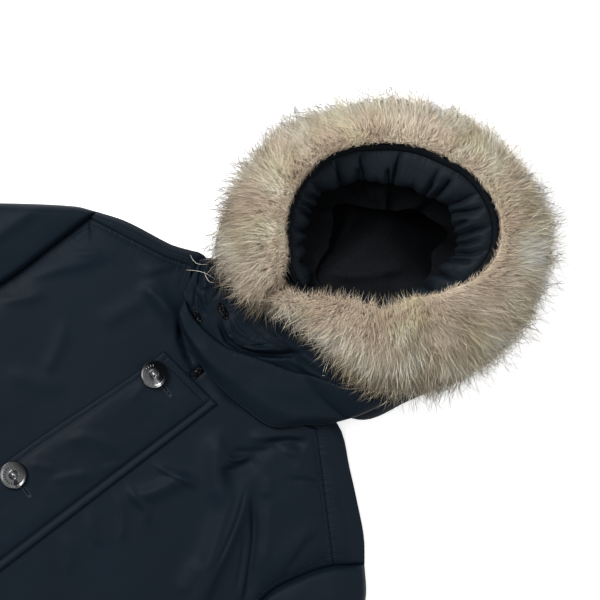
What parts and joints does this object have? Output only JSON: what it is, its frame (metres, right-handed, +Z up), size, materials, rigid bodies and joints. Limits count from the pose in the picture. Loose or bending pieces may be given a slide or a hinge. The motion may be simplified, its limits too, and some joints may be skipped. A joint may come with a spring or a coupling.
{
  "type": "fur trimmed parka",
  "caption": "Padded navy parka with a fur trimmed hood, buttoned placket and folded collar, laid flat on its back with the hood's opening upwards.",
  "frame": {"origin": "on the flat underside of the back panel, on the coat's centre line, level with the top of the placket", "axes": "+Z up from the surface the coat lies on, +Y from the hem to the hood, +X to the wearer's left"},
  "size_m": [1.2582, 1.0887, 0.1422],
  "materials": {
    "navy_cloth": "closely woven navy shell cloth with a soft low sheen, padded, topstitched in its own colour",
    "edge_binding": "folded navy binding along the hood's edge",
    "fleece_lining": "charcoal brushed fleece lining, matt",
    "fur": "long haired grey and beige fur with pale underfur and dark guard hairs",
    "button_metal": "dark cast pewter, satin, with worn bright edges",
    "hook_and_loop": "black loop pile"
  },
  "bodies": {
    "root": {"back": "navy_cloth", "front_left": "navy_cloth", "front_right": "navy_cloth", "placket": "navy_cloth", "sleeve_left": "navy_cloth", "sleeve_right": "navy_cloth", "collar": "navy_cloth", "hood_throat": "navy_cloth", "hood_shell_left": "navy_cloth", "hood_shell_right": "navy_cloth", "hood_facing": "navy_cloth", "hood_binding": "edge_binding", "hood_lining_left": "fleece_lining", "hood_lining_right": "fleece_lining", "fur_trim": "fur", "button_1": "button_metal", "button_2": "button_metal", "button_3": "button_metal", "button_4": "button_metal", "grip_pad_1": "hook_and_loop", "grip_pad_2": "hook_and_loop", "grip_pad_3": "hook_and_loop"}
  },
  "joints": []
}
